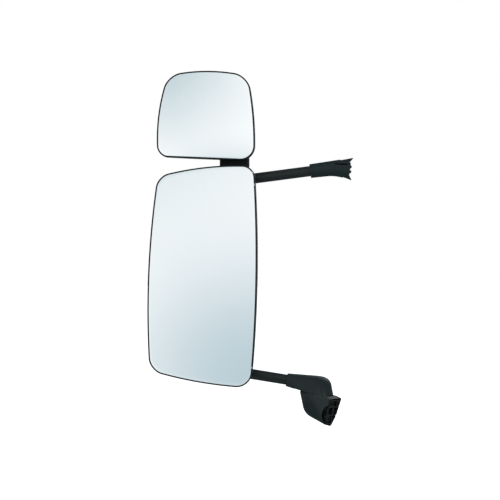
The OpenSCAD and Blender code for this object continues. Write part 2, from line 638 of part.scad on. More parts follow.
// Two ears at +Z and -Z of the pivot, from depth a to b
module ear_pair(a, b) {
    difference() {
        for (s = [-1, 1]) box([-ear_half, a, s < 0 ? -ear_out : ear_in],
            [ear_half, b, s < 0 ? -ear_in : ear_out]);
        translate([0, 0, -40]) cylinder(r = trunnion_r + run, h = 80);
    }
}
module main_gimbal_ring() color("ivory") at_head() translate(main_pivot) gimbal_ring();
module wide_gimbal_ring() color("ivory") at_head() translate(wide_pivot) gimbal_ring();
pivot_base_y = 11;   // front of the wide pivot's base behind the pivot
module wide_pivot_base() color([0.1, 0.1, 0.1]) at_head() translate(wide_pivot) {
    ear_pair(-ear_back, pivot_base_y + 1);
    difference() {
        pin_y(31, pivot_base_y, pad_y - wide_pivot.y);
        pin_y(28, pivot_base_y + 3, pad_y - wide_pivot.y - 2);
        for (p = wide_fix) translate([p.x, 0, p.y]) {
            pin_y(4.5, 0, pad_y - wide_pivot.y - 2);
            pin_y(2, 0, 60);
        }
    }
}

// A domed sheet of the outline, between two radii less than the glass's own
module domed_sheet(points, r, apex, mid, from, to) {
    translate([mid.x, apex + r, mid.y]) intersection() {
        translate([0, -r + 60, 0]) rotate([90, 0, 0]) linear_extrude(80) polygon(points);
        difference() {
            sphere(r = r - from, $fn = 200);
            sphere(r = r - to, $fn = 200);
        }
    }
}
main_glass_in = 2.6; // how far the main glass stays inside the housing's outline
wide_glass_in = 2.6;
bead_t = 0.3;        // edge of the holder seen around each glass
heater_t = 1;
holder_t = 2.5;
holder_in = 6;
module glass_holder(points, r, apex, mid, glass_in) {
    domed_sheet(inset(points, holder_in), r, apex, mid, glass_t + heater_t,
        glass_t + heater_t + holder_t);
    difference() {
        domed_sheet(inset(points, glass_in - bead_t), r, apex, mid, -0.3, glass_t + heater_t + 1.5);
        domed_sheet(inset(points, glass_in), r, apex, mid, -1, glass_t);
        domed_sheet(inset(points, holder_in), r, apex, mid, -1, 20);
    }
}
cup_r = 7.5;
cup_bore = 5.2;
ball_r = 4;
module ball_cup(depth) {
    difference() {
        pin_y(cup_r, -depth, 4.6);
        pin_y(cup_bore, -ball_r - 0.25, 3.1);
        pin_y(3.8, 0, 10);
    }
}
main_back_gap = main_pivot.y - main_apex - glass_t - heater_t - holder_t;
wide_back_gap = wide_pivot.y - wide_apex - glass_t - heater_t - holder_t;
module main_glass_holder() color([0.08, 0.08, 0.08]) at_head() {
    glass_holder(main_outline, main_r, main_apex, main_mid, main_glass_in);
    translate(main_pivot) {
        ear_pair(-main_back_gap - 1, ear_back);
        for (a = [0, -90]) rotate([0, a, 0]) translate([-screw_arm, 0, 0]) ball_cup(main_back_gap + 1);
    }
}
module wide_glass_holder() color([0.08, 0.08, 0.08]) at_head() {
    glass_holder(wide_outline, wide_r, wide_apex, wide_mid, wide_glass_in);
    translate(wide_pivot) rotate([0, 90, 0]) ear_pair(-wide_back_gap, ear_back);
}
module heater(points, r, apex, mid) domed_sheet(inset(points, 7), r, apex, mid, glass_t, glass_t + heater_t);
module main_heater() color("darkorange") at_head() heater(main_outline, main_r, main_apex, main_mid);
module wide_heater() color("darkorange") at_head() heater(wide_outline, wide_r, wide_apex, wide_mid);
module main_glass() color("lightblue") at_head()
    domed_sheet(inset(main_outline, main_glass_in), main_r, main_apex, main_mid, 0, glass_t);
module wide_glass() color("lightblue") at_head()
    domed_sheet(inset(wide_outline, wide_glass_in), wide_r, wide_apex, wide_mid, 0, glass_t);

// ---- Main glass actuator, measured from the main pivot ----
lid_y = 13;
lid_t = 2.5;
case_back = 47;
nut_y = 24;          // middle of the wheel and worm
worm_gap = 11.3;
worm_pitch = 2 * PI * wheel_r / wheel_teeth;
motor_r = 8;
motor_start = 9.5;
motor_length = 22;
module at_drive(turn) { at_head() translate(main_pivot) rotate([0, turn, 0]) children(); }
module case_box(by, a, b) {
    box([case_low.x + by, a, case_low.y + by], [case_high.x - by, b, case_high.y - by]);
}
module actuator_lid() color([0.1, 0.1, 0.1]) at_head() translate(main_pivot) {
    difference() {
        case_box(0, lid_y, lid_y + lid_t);
        for (a = [0, -90]) rotate([0, a, 0]) translate([-screw_arm, 0, 0]) pin_y(3.6, 0, 30);
    }
    rotate([0, 90, 0]) ear_pair(-ear_back, lid_y + 1);
    // Tab that carries the ear standing beyond the case
    box([case_high.x - 1, lid_y, -ear_half], [ear_out, lid_y + lid_t, ear_half]);
}
lug_y = plate_y - main_pivot.y;
module actuator_base() color([0.12, 0.12, 0.12]) at_head() translate(main_pivot) difference() {
    union() {
        case_box(0, lid_y + lid_t, case_back);
        for (p = lug_places) box([p.x < 0 ? p.x - 5 : case_high.x - 1, lug_y - 4, p.y - 6],
            [p.x < 0 ? case_low.x + 1 : p.x + 5, lug_y, p.y + 6]);
    }
    difference() {
        case_box(case_wall, lid_y, case_back - case_wall);
        for (a = [0, -90]) rotate([0, a, 0]) {
            translate([-screw_arm, 0, 0]) pin_y(7, nut_y + 8.2, case_back);
            box([-screw_arm + worm_gap - 6, nut_y + motor_r + 0.2, motor_start + 4],
                [-screw_arm + worm_gap + 6, case_back, motor_start + 16]);
        }
    }
    for (a = [0, -90]) rotate([0, a, 0]) translate([-screw_arm, 0, 0]) pin_y(3.6, 0, case_back - 2.5);
    for (p = lug_places) translate([p.x, 0, p.y]) pin_y(2, 0, 60);
    box([case_high.x - 4, lug_y + 6, -22], [case_high.x + 4, lug_y + 13, -6]);
}
module actuator_screws() color("silver") at_head() for (p = lug_places)
    translate([main_pivot.x + p.x, 0, p.y]) screw_y(3.6, 1.6, plate_y - 4, 10);
module actuator_socket() color("beige") at_head() translate(main_pivot) difference() {
    box([case_high.x - 3.8, lug_y + 6.2, -21.8], [case_high.x + 8, lug_y + 12.8, -6.2]);
    for (z = [-19, -14, -9]) box([case_high.x + 1, lug_y + 8, z - 1.5],
        [case_high.x + 9, lug_y + 11, z + 1.5]);
}
module motor() {
    translate([-screw_arm + worm_gap, nut_y, motor_start]) difference() {
        union() {
            intersection() {
                cylinder(r = motor_r, h = motor_length);
                box([-6.5, -10, 0], [6.5, 10, motor_length]);
            }
            translate([0, 0, -1]) cylinder(r = 2.5, h = 2);
        }
        translate([0, 0, -2]) cylinder(r = 1.1, h = 10);
    }
}
module pan_motor() color("silver") at_drive(0) motor();
module tilt_motor() color("silver") at_drive(-90) motor();
worm_steps = 16;
worm_turns = 4.5;
function thread_section(a, z) = [for (p = [[1.9, 0.75], [3.95, 0.3], [3.95, -0.3], [1.9, -0.75]])
    [p.x * cos(a), p.x * sin(a), z + p.y]];
module worm() {
    translate([-screw_arm + worm_gap, nut_y, 0]) {
        loft([for (k = [0:worm_turns * worm_steps]) let (a = 360 * k / worm_steps)
            thread_section(a, (k / worm_steps - floor(worm_turns / 2) - 0.5) * worm_pitch)]);
        translate([0, 0, -7.5]) cylinder(r = 2.2, h = 15.5);
        translate([0, 0, 7]) cylinder(r = 1, h = 8);
    }
}
module pan_worm() color("goldenrod") at_drive(0) worm();
module tilt_worm() color("goldenrod") at_drive(-90) worm();
function wheel_points() = [for (i = [0:wheel_teeth - 1]) let (step = 360 / wheel_teeth, c = i * step)
    each [for (p = [[7.1, 0.5], [7.1, 0.76], [8.7, 0.92], [8.7, 1.08], [7.1, 1.24]])
        [p.x * cos(c + step * (p.y - 0.5)), p.x * sin(c + step * (p.y - 0.5))]]];
module gear_nut() {
    translate([-screw_arm, nut_y, 0]) rotate([90, 0, 0]) difference() {
        union() {
            translate([0, 0, -4]) linear_extrude(8) polygon(wheel_points());
            translate([0, 0, -7.9]) cylinder(r = 5, h = 16);
        }
        translate([0, 0, -10]) cylinder(r = 3 + run, h = 20);
    }
}
module pan_gear_nut() color("ivory") at_drive(0) gear_nut();
module tilt_gear_nut() color("ivory") at_drive(-90) gear_nut();
module jackscrew() {
    translate([-screw_arm, 0, 0]) {
        sphere(r = ball_r);
        pin_y(1.9, 2, 9);
        pin_y(3, 8, 38);
    }
}
module pan_jackscrew() color("ivory") at_drive(0) jackscrew();
module tilt_jackscrew() color("ivory") at_drive(-90) jackscrew();

foot_casting();
foot_cover();
foot_connector();
hinge_bush();
thrust_washer();
hinge_pin();
detent_spring();
spring_cup();
hinge_nut();
knuckle_casting();
tube_screws();
elbow_cover();
arm_tube();
stop_collars();
upper_fitting();
upper_bush();
upper_boot();
arm_harness();
harness_grommet();
carrier_plate();
upper_saddle();
upper_clamp_cap();
lower_saddle();
lower_clamp_cap();
swivel_liners();
clamp_bolts();
clamp_nuts();
main_housing();
main_back_cover();
housing_screws();
back_cover_screws();
neck_bracket();
neck_bolts();
neck_cover();
wide_housing();
wide_housing_screws();
wide_pivot_base();
actuator_base();
actuator_lid();
actuator_screws();
actuator_socket();
pan_motor();
tilt_motor();
pan_worm();
tilt_worm();
pan_gear_nut();
tilt_gear_nut();
pan_jackscrew();
tilt_jackscrew();
main_gimbal_ring();
main_glass_holder();
main_heater();
main_glass();
wide_gimbal_ring();
wide_glass_holder();
wide_heater();
wide_glass();
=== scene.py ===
"""Looks for a truck side mirror: two convex glasses in black housings on a folding C-shaped arm."""

import json
import math

import bmesh
import bpy
from mathutils import Matrix, Vector


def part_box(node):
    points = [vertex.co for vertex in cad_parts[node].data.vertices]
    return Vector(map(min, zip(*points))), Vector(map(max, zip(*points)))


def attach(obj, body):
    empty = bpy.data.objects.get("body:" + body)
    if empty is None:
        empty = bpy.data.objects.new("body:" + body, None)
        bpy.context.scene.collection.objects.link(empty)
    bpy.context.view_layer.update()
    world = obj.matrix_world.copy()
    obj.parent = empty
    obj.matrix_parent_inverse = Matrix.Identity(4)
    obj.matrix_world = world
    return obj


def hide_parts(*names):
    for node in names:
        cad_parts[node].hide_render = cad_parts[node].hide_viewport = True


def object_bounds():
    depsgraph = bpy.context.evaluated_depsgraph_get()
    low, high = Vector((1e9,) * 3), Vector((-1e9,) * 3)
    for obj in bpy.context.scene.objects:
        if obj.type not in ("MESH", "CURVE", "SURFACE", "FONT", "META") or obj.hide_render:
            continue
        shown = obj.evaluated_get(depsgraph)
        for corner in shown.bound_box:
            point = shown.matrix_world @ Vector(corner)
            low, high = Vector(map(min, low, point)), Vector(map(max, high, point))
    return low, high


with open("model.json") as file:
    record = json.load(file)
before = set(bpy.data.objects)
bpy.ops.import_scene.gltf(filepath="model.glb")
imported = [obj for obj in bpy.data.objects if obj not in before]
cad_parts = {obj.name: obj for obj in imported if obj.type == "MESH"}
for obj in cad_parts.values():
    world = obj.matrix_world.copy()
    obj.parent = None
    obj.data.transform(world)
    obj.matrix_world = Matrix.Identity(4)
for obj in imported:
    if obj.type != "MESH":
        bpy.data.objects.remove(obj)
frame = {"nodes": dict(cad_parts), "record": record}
cad_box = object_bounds()
scene = bpy.context.scene
record = frame["record"]
body_of = {n: body for body, names in record["behaviour"]["bodies"].items() for n in names}
slot_of = {s["node"]: s["material_slot"] for s in record["subparts"]}

# ---- Camera ----
LOOK_AT = Vector((-0.165275, -0.039159, 0.327043))
CAMERA_TURN = math.radians(3)
CAMERA_DISTANCE = 3.0
camera = bpy.data.objects.new("camera", bpy.data.cameras.new("camera"))
camera.data.lens = 108
camera.data.sensor_width = 36
camera.data.clip_end = 60
camera.location = LOOK_AT + CAMERA_DISTANCE * Vector((math.sin(CAMERA_TURN), -math.cos(CAMERA_TURN), 0))
camera.rotation_euler = (math.pi / 2, 0, CAMERA_TURN)
scene.collection.objects.link(camera)
scene.camera = camera
scene.view_settings.view_transform = "Standard"


# ---- Frames: each one turns millimetres in a part's own frame into metres in the row frame ----
def middle(node):
    low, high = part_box(node)
    return (low + high) / 2


def turn(degrees, axis):
    return Matrix.Rotation(math.radians(degrees), 4, axis)


LEAN = 7.3           # of the fold axis from the vertical, in degrees
FACE_YAW = 27        # of the foot's mounting face, in degrees
LOWER_SLOPE = 9      # of the two arms, in degrees
UPPER_SLOPE = 7.3
ARM_LIFT = 17.2      # of the lower arm's line above the hinge, in millimetres
HINGE_UP = 0.011     # of the hinge and the upper pivot from their bushes' middles, in metres
PIVOT_UP = 0.0035
FOLD_AXIS = turn(LEAN, "Y") @ Vector((0, 0, 1))
hinge = middle("hinge_bush") + FOLD_AXIS * HINGE_UP
upper_pivot = middle("upper_bush") + FOLD_AXIS * PIVOT_UP
head = middle("stop_collars")
MM = Matrix.Scale(0.001, 4)
AT_HEAD = Matrix.Translation(head) @ MM
AT_HINGE = Matrix.Translation(hinge) @ turn(LEAN, "Y") @ MM
AT_ARM_END = Matrix.Translation(upper_pivot) @ turn(-UPPER_SLOPE, "Y") @ MM


# ---- Outlines and domes, in millimetres ----
MAIN_MID = (-61, 0)
WIDE_MID = (-55, 323)
MAIN_R, WIDE_R = 1800, 300           # of the glasses' domes
MAIN_APEX, WIDE_APEX = -66, -70      # Y of the domes' highest points
HANDLE = 0.55                        # how far a round corner's curve leans into the corner


def left_normal(a, b):
    d = (b - a).normalized()
    return Vector((-d.y, d.x))


def side_point(a, b, bulge, s):
    return a + (b - a) * s + left_normal(a, b) * 4 * bulge * s * (1 - s)


def rounded_outline(corners, bulges, trims, corner_n=18, side_n=22):
    """A closed outline: bulged sides joined by rounded corners."""
    corners = [Vector(c) for c in corners]
    n = len(corners)
    points = []
    for i in range(n):
        before, here, after = corners[i - 1], corners[i], corners[(i + 1) % n]
        length = (after - here).length
        start, stop = trims[i] / length, 1 - trims[(i + 1) % n] / length
        a = side_point(before, here, bulges[i - 1], 1 - trims[i] / (here - before).length)
        d = side_point(here, after, bulges[i], start)
        b, c = a + HANDLE * (here - a), d + HANDLE * (here - d)
        for j in range(corner_n):
            q = j / corner_n
            points.append(a * (1 - q) ** 3 + b * 3 * q * (1 - q) ** 2 + c * 3 * q * q * (1 - q)
                          + d * q ** 3)
        points += [side_point(here, after, bulges[i], start + (stop - start) * j / side_n)
                   for j in range(side_n)]
    return points


def inset(points, by):
    """The outline moved inwards by the same distance on all sides."""
    n = len(points)
    moved = []
    for i in range(n):
        u = left_normal(points[i - 1], points[i])
        v = left_normal(points[i], points[(i + 1) % n])
        moved.append(points[i] - by * (u + v) / (1 + u.dot(v)))
    return moved


def shrink(points, by, half):
    """The outline scaled about its middle, by a distance at its half width and half height."""
    return [Vector((p.x * (1 - by / half[0]), p.y * (1 - by / half[1]))) for p in points]


def sag(p, r):
    """How far a dome of radius r has fallen away at a point."""
    return r - math.sqrt(r * r - p.x * p.x - p.y * p.y)


def stand(points, mid, y, r, share):
    """A ring in the head's frame at depth y, following a share of the glass's dome."""
    return [Vector((mid[0] + p.x, y + share * sag(p, r), mid[1] + p.y)) for p in points]


MAIN_OUTLINE = rounded_outline([(-91.8, 200.1), (103, 221), (96, -225.2), (-108, -190.8)],
                               [8, 9.5, 6.5, 9.5], [22, 23, 30, 25])
WIDE_OUTLINE = rounded_outline([(-77.2, 80.2), (84.2, 79), (97, -91.5), (-98.7, -83)],
                               [8.5, 6, 1, 8], [25, 26, 29, 21])
FACE_OUTLINE = rounded_outline([(-22, 26.5), (34.5, 27.5), (18.5, -9), (1, -29.5), (-28, -25)],
                               [0] * 5, [4, 4, 6, 5, 6], 8, 2)


def between(a, b, s):
    return a + (b - a) * s


# ---- Mesh helpers ----
SHARP = 35           # degrees above which an edge stays sharp


def shade(data, sharp):
    data.shade_smooth()
    data.set_sharp_from_angle(angle=math.radians(sharp))


def new_object(name, bm, matrix=Matrix.Identity(4), sharp=SHARP):
    """An object from a bmesh, moved into the row frame, smooth except where it turns sharply."""
    bmesh.ops.recalc_face_normals(bm, faces=bm.faces)
    data = bpy.data.meshes.new(name)
    bm.to_mesh(data)
    bm.free()
    data.transform(matrix)
    shade(data, sharp)
    piece = bpy.data.objects.new(name, data)
    scene.collection.objects.link(piece)
    return piece


def loft(rings, loop=False):
    """A bmesh through rings of the same number of points, closed at both ends or joined into a loop."""
    bm = bmesh.new()
    rows = [[bm.verts.new(p) for p in ring] for ring in rings]
    n = len(rows[0])
    pairs = list(zip(rows, rows[1:])) + ([(rows[-1], rows[0])] if loop else [])
    for low, high in pairs:
        for j in range(n):
            k = (j + 1) % n
            bm.faces.new((low[j], low[k], high[k], high[j]))
    if not loop:
        bm.faces.new(rows[0][::-1])
        bm.faces.new(rows[-1])
    return bm


def prism(outline, low, high):
    """A bmesh that stands on an outline in X and Y, from low to high in Z."""
    return loft([[Vector((p[0], p[1], z)) for p in outline] for z in (low, high)])


def slab(low, high, half, bottom, top):
    """A bmesh box from low to high in X, half to each side in Y and from bottom to top in Z."""
    return prism([(low, -half), (high, -half), (high, half), (low, half)], bottom, top)


def hull(points):
    bm = bmesh.new()
    for p in points:
        bm.verts.new(p)
    result = bmesh.ops.convex_hull(bm, input=bm.verts)
    unused = result["geom_interior"] + result["geom_unused"]
    spare = {v for v in unused if isinstance(v, bmesh.types.BMVert)}
    bmesh.ops.delete(bm, geom=list(spare), context="VERTS")
    return bm


def circle(r, z, n=96, matrix=Matrix.Identity(4)):
    return [matrix @ Vector((r * math.cos(2 * math.pi * i / n), r * math.sin(2 * math.pi * i / n), z))
            for i in range(n)]


def ball(r, centre, rings=28, n=64):
    return [Vector(centre) + r * Vector((math.sin(t) * math.cos(a), math.sin(t) * math.sin(a), math.cos(t)))
            for t in [math.pi * (k + 0.5) / rings for k in range(rings)]
            for a in [2 * math.pi * i / n for i in range(n)]]


def cut(piece, bm, matrix=Matrix.Identity(4)):
    """Cuts a solid out of a piece and keeps the result as its mesh."""
    tool = new_object("cut_tool", bm, matrix)
    change = piece.modifiers.new("cut", "BOOLEAN")
    change.object = tool
    change.operation = "DIFFERENCE"
    change.solver = "EXACT"
    graph = bpy.context.evaluated_depsgraph_get()
    data = bpy.data.meshes.new_from_object(piece.evaluated_get(graph))
    piece.modifiers.clear()
    piece.data = data
    shade(data, SHARP)
    bpy.data.objects.remove(tool)


def finish_piece(piece, node, material):
    """Gives a piece its material and makes it stand for a CAD node."""
    piece.data.materials.clear()
    piece.data.materials.append(material)
    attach(piece, body_of[node])
    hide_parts(node)


def rounded_box(low, high, corner, n=6):
    """The outline of a box from low to high with round corners."""
    points = []
    for cx, cy, a in ((high[0] - corner, high[1] - corner, 0), (low[0] + corner, high[1] - corner, 90),
                      (low[0] + corner, low[1] + corner, 180), (high[0] - corner, low[1] + corner, 270)):
        for i in range(n + 1):
            t = math.radians(a + 90 * i / n)
            points.append((cx + corner * math.cos(t), cy + corner * math.sin(t)))
    return points


# ---- Materials ----
class Nodes:
    """A short way to lay out a material's nodes."""

    def __init__(self, name):
        self.material = bpy.data.materials.new(name)
        self.material.use_nodes = True
        self.tree = self.material.node_tree
        self.shader = self.tree.nodes["Principled BSDF"]
        self.place = self.add("ShaderNodeTexCoord").outputs["Object"]

    def add(self, kind, **settings):
        node = self.tree.nodes.new(kind)
        for key, value in settings.items():
            setattr(node, key, value)
        return node

    def link(self, source, target):
        self.tree.links.new(source, target)

    def noise(self, scale, detail=3.0, roughness=0.5, stretch=None):
        node = self.add("ShaderNodeTexNoise")
        node.inputs["Scale"].default_value = scale
        node.inputs["Detail"].default_value = detail
        node.inputs["Roughness"].default_value = roughness
        source = self.place
        if stretch:
            mapping = self.add("ShaderNodeMapping")
            mapping.inputs["Scale"].default_value = stretch
            self.link(source, mapping.inputs["Vector"])
            source = mapping.outputs["Vector"]
        self.link(source, node.inputs["Vector"])
        return node.outputs["Fac"]

    def ramp(self, source, low, high, start=0.3, stop=0.7):
        node = self.add("ShaderNodeMapRange", clamp=True)
        node.inputs["From Min"].default_value = start
        node.inputs["From Max"].default_value = stop
        node.inputs["To Min"].default_value = low
        node.inputs["To Max"].default_value = high
        self.link(source, node.inputs["Value"])
        return node.outputs["Result"]

    def colours(self, source, stops):
        node = self.add("ShaderNodeValToRGB")
        ramp = node.color_ramp
        while len(ramp.elements) < len(stops):
            ramp.elements.new(0.5)
        for element, (position, colour) in zip(ramp.elements, stops):
            element.position = position
            element.color = (*colour, 1)
        self.link(source, node.inputs["Fac"])
        return node.outputs["Color"]

    def mix(self, share, a, b):
        node = self.add("ShaderNodeMix", data_type="RGBA")
        self.link(share, node.inputs["Factor"])
        for colour, name in ((a, "A"), (b, "B")):
            if isinstance(colour, tuple):
                node.inputs[name].default_value = (*colour, 1)
            else:
                self.link(colour, node.inputs[name])
        return node.outputs["Result"]

    def bump(self, source, distance, strength=1.0, after=None):
        node = self.add("ShaderNodeBump")
        node.inputs["Distance"].default_value = distance
        node.inputs["Strength"].default_value = strength
        self.link(source, node.inputs["Height"])
        if after:
            self.link(after, node.inputs["Normal"])
        return node.outputs["Normal"]

    def edges(self, start, stop):
        """How exposed a spot is, from 0 in the open to 1 on an outer edge."""
        node = self.add("ShaderNodeNewGeometry")
        return self.ramp(node.outputs["Pointiness"], 0, 1, start, stop)


def moulded(name, dark, light, rough, grain, depth, dust_and_edge_highlight=(0.018, 0.023, 0.024), specular=0.16):
    """Black moulded plastic: fine spark grain, faint flow marks, dust specks, and a painted highlight that
    lightens its outer edges.
    """
    m = Nodes(name)
    cloud = m.noise(22, 4, 0.6)
    speck = m.noise(420, 2)
    base = m.colours(cloud, [(0.3, dark), (0.7, light)])
    dusty = m.mix(m.ramp(speck, 0, 0.25, 0.5, 0.8), base, dust_and_edge_highlight)
    # Outer edges take the light colour too: painted highlight, while the specks are dust
    m.link(m.mix(m.edges(0.52, 0.6), dusty, dust_and_edge_highlight), m.shader.inputs["Base Color"])
    m.link(m.ramp(m.noise(60, 5, 0.65), rough - 0.05, rough + 0.07), m.shader.inputs["Roughness"])
    fine = m.bump(m.noise(grain, 2, 0.6), depth, 0.5)
    m.link(m.bump(m.noise(35, 2), depth * 3, 0.15, fine), m.shader.inputs["Normal"])
    m.shader.inputs["Specular IOR Level"].default_value = specular
    return m.material


def coated(name, dark, light, rough, scale, depth):
    """Powder coat over steel: orange peel and a faint mottle."""
    m = Nodes(name)
    base = m.colours(m.noise(30, 4, 0.6), [(0.3, dark), (0.7, light)])
    m.link(base, m.shader.inputs["Base Color"])
    m.link(m.ramp(m.noise(90, 3), rough - 0.05, rough + 0.06), m.shader.inputs["Roughness"])
    peel = m.bump(m.noise(scale, 2, 0.4), depth, 0.6)
    m.link(m.bump(m.noise(scale * 3, 2), depth * 0.3, 0.5, peel), m.shader.inputs["Normal"])
    m.shader.inputs["Specular IOR Level"].default_value = 0.18
    m.shader.inputs["Coat Weight"].default_value = 0.06
    m.shader.inputs["Coat Roughness"].default_value = 0.25
    return m.material


def metal(name, dark, light, rough, scale, depth, stretch=None, stain=None):
    """Bare or plated metal: cast skin or fine drawn lines, with an uneven tone."""
    m = Nodes(name)
    base = m.colours(m.noise(scale * 0.2, 4, 0.6), [(0.3, dark), (0.7, light)])
    if stain:
        base = m.mix(m.ramp(m.noise(scale * 0.08, 5, 0.7), 0, 0.6, 0.5, 0.75), base, stain)
    m.link(base, m.shader.inputs["Base Color"])
    m.shader.inputs["Metallic"].default_value = 1
    m.link(m.ramp(m.noise(scale * 0.3, 4, 0.6, stretch), rough - 0.08, rough + 0.1),
           m.shader.inputs["Roughness"])
    m.link(m.bump(m.noise(scale, 3, 0.6, stretch), depth, 0.6), m.shader.inputs["Normal"])
    return m.material


black_plastic = moulded("black_moulded_plastic", (0.005, 0.0065, 0.007), (0.009, 0.011, 0.0115),
                        0.48, 1500, 0.00006)
trim_plastic = moulded("fine_black_plastic", (0.003, 0.004, 0.005), (0.006, 0.007, 0.009),
                       0.42, 1800, 0.00004, (0.012, 0.014, 0.015), 0.12)
soft_black = moulded("boot_rubbery_plastic", (0.0035, 0.0105, 0.011), (0.0065, 0.0155, 0.0165),
                     0.58, 1300, 0.00008, (0.016, 0.023, 0.023))
inner_plastic = moulded("inner_plastic", (0.022, 0.022, 0.023), (0.034, 0.034, 0.035), 0.5, 1200, 0.00008)
rubber = moulded("rubber", (0.014, 0.014, 0.014), (0.022, 0.022, 0.022), 0.72, 900, 0.0001,
                 (0.04, 0.04, 0.04), 0.2)
arm_paint = coated("arm_powder_coat", (0.0025, 0.0065, 0.0065), (0.005, 0.0095, 0.0095), 0.40, 650, 0.00009)
coated_casting = coated("black_coated_casting", (0.003, 0.0045, 0.004), (0.007, 0.0095, 0.009),
                        0.5, 380, 0.0002)
# A darker copy of the black coated casting: painted shade for castings seen deep inside their covers
painted_shade_casting = coated("coated_casting_painted_shade", (0.0008, 0.0012, 0.0011), (0.0016, 0.0022, 0.002),
                        0.6, 380, 0.0002)
casting = metal("die_cast", (0.42, 0.43, 0.44), (0.58, 0.59, 0.6), 0.48, 700, 0.00012, stain=(0.3, 0.3, 0.3))
steel = metal("zinc_plated_steel", (0.55, 0.56, 0.58), (0.7, 0.7, 0.68), 0.3, 1400, 0.00003, (1, 1, 0.15),
              stain=(0.52, 0.5, 0.42))
brass = metal("turned_brass", (0.62, 0.45, 0.18), (0.8, 0.62, 0.3), 0.25, 1600, 0.00003, (1, 1, 0.2))


def acetal():
    m = Nodes("natural_acetal")
    m.link(m.colours(m.noise(40, 3), [(0.3, (0.62, 0.6, 0.52)), (0.7, (0.74, 0.72, 0.65))]),
           m.shader.inputs["Base Color"])
    m.link(m.ramp(m.noise(200, 3), 0.32, 0.44), m.shader.inputs["Roughness"])
    m.link(m.bump(m.noise(1500, 2), 0.00004, 0.4), m.shader.inputs["Normal"])
    m.shader.inputs["Subsurface Weight"].default_value = 0.08
    m.shader.inputs["Subsurface Radius"].default_value = (0.002, 0.0015, 0.001)
    return m.material


def heater_foil():
    """Printed heater foil: a brown film with copper tracks that run to and fro."""
    m = Nodes("heater_foil")
    wave = m.add("ShaderNodeTexWave", wave_type="BANDS", bands_direction="Z")
    wave.inputs["Scale"].default_value = 40
    wave.inputs["Distortion"].default_value = 0.4
    m.link(m.place, wave.inputs["Vector"])
    track = m.ramp(wave.outputs["Fac"], 0, 1, 0.62, 0.7)
    m.link(m.mix(track, (0.33, 0.12, 0.03), (0.75, 0.4, 0.2)), m.shader.inputs["Base Color"])
    m.link(m.ramp(m.noise(300, 3), 0.35, 0.5), m.shader.inputs["Roughness"])
    m.link(m.bump(track, 0.00005, 0.6), m.shader.inputs["Normal"])
    return m.material


def mirror_coat():
    """Silvered glass: a cool tint, a faint film of dust and a slow ripple in the bent sheet."""
    m = Nodes("silvered_glass")
    film = m.noise(9, 5, 0.6)
    m.link(m.colours(film, [(0.3, (0.905, 0.945, 0.96)), (0.7, (0.93, 0.96, 0.97))]),
           m.shader.inputs["Base Color"])
    m.shader.inputs["Metallic"].default_value = 1
    m.link(m.ramp(m.noise(140, 6, 0.7), 0.015, 0.05, 0.4, 0.8), m.shader.inputs["Roughness"])
    m.link(m.bump(m.noise(16, 1, 0.3), 0.0001, 0.12), m.shader.inputs["Normal"])
    return m.material


def glass_edge():
    """The ground edge and painted back of a mirror glass."""
    m = Nodes("ground_glass_edge")
    m.link(m.colours(m.noise(300, 4), [(0.3, (0.16, 0.22, 0.22)), (0.7, (0.3, 0.38, 0.37))]),
           m.shader.inputs["Base Color"])
    m.link(m.ramp(m.noise(800, 3), 0.3, 0.5), m.shader.inputs["Roughness"])
    m.link(m.bump(m.noise(2200, 2), 0.00005, 0.5), m.shader.inputs["Normal"])
    return m.material


natural_plastic = acetal()
heater_film = heater_foil()
mirror_glass = mirror_coat()
mirror_edge = glass_edge()

by_slot = {"black_plastic": black_plastic, "arm_paint": arm_paint, "mirror_glass": mirror_glass,
           "inner_plastic": inner_plastic, "natural_plastic": natural_plastic, "casting": casting,
           "coated_casting": coated_casting, "steel": steel, "brass": brass, "rubber": rubber,
           "heater_film": heater_film}
CASTINGS_IN_PAINTED_SHADE = ("foot_casting", "upper_fitting")      # seen only deep inside their covers, so given a darker copy of the black coat: painted shade
for name, node in frame["nodes"].items():
    look = painted_shade_casting if name in CASTINGS_IN_PAINTED_SHADE else by_slot[slot_of[name]]
    node.data.materials.clear()
    node.data.materials.append(look)


# ---- Main housing: the front shell with its rounded rim ----
PART_Y = -12                     # parting between the front shell and the back cover
SEAM = 0.2                       # each of them stands this far from it
BELT_Y, SHOULDER_Y = -46, -30    # depths at which the shell's side changes its run
BELT_DOME, SHOULDER_DOME = 0.55, 0.2      # share of the dome that is left there
MAIN_RIM = MAIN_APEX - 2
WIDE_RIM = WIDE_APEX - 2
RIM_DEPTH = 1.5
RIM_FOOT = 0.1                   # inset of the rim's foot
# The rim's section as inset and depth, from its outside over the top to the glass
RIM_ROUND = [(0.1, 1.5), (0.16, 0.9), (0.28, 0.45), (0.45, 0.15), (0.68, 0.02), (0.95, 0), (1.2, 0.06),
             (1.38, 0.25), (1.48, 0.6), (1.5, 1.2)]


# Turns a solid that stands along Z so that it lies along X
ALONG_X = Matrix(((0, 0, 1, 0), (1, 0, 0, 0), (0, 1, 0, 0), (0, 0, 0, 1)))


def arm_slot(z, slope):
    """The round-cornered slot through which an arm leaves the head, with room to swivel."""
    bm = prism(rounded_box((-23, -15), (23, 15), 4.5), 12, 80)
    bm.transform(Matrix.Translation((0, 0, z)) @ turn(-slope, "Y") @ ALONG_X)
    return bm


def neck_outline(by):
    return rounded_box((-30 - by, -17 - by), (30 + by, 2 + by), 5 + by, 8)


elbow_point = hinge + FOLD_AXIS * ARM_LIFT / 1000
low_corner = elbow_point.z + (elbow_point.x - head.x) * math.tan(math.radians(LOWER_SLOPE)) - head.z
SLOTS = ((192.7, UPPER_SLOPE), (low_corner * 1000, -LOWER_SLOPE))
NECK_RUN = 0.4       # room round the neck sleeve


def cut_openings(piece):
    """Cuts both arm slots and the neck's opening into a shell of the main head."""
    for z, slope in SLOTS:
        cut(piece, arm_slot(z, slope), AT_HEAD)
    cut(piece, prism(neck_outline(NECK_RUN), 200, 300), AT_HEAD)


def main_ring(by, y, share):
    return stand(inset(MAIN_OUTLINE, by), MAIN_MID, y, MAIN_R, share)


def shares(n):
    return [k / n for k in range(1, n + 1)]


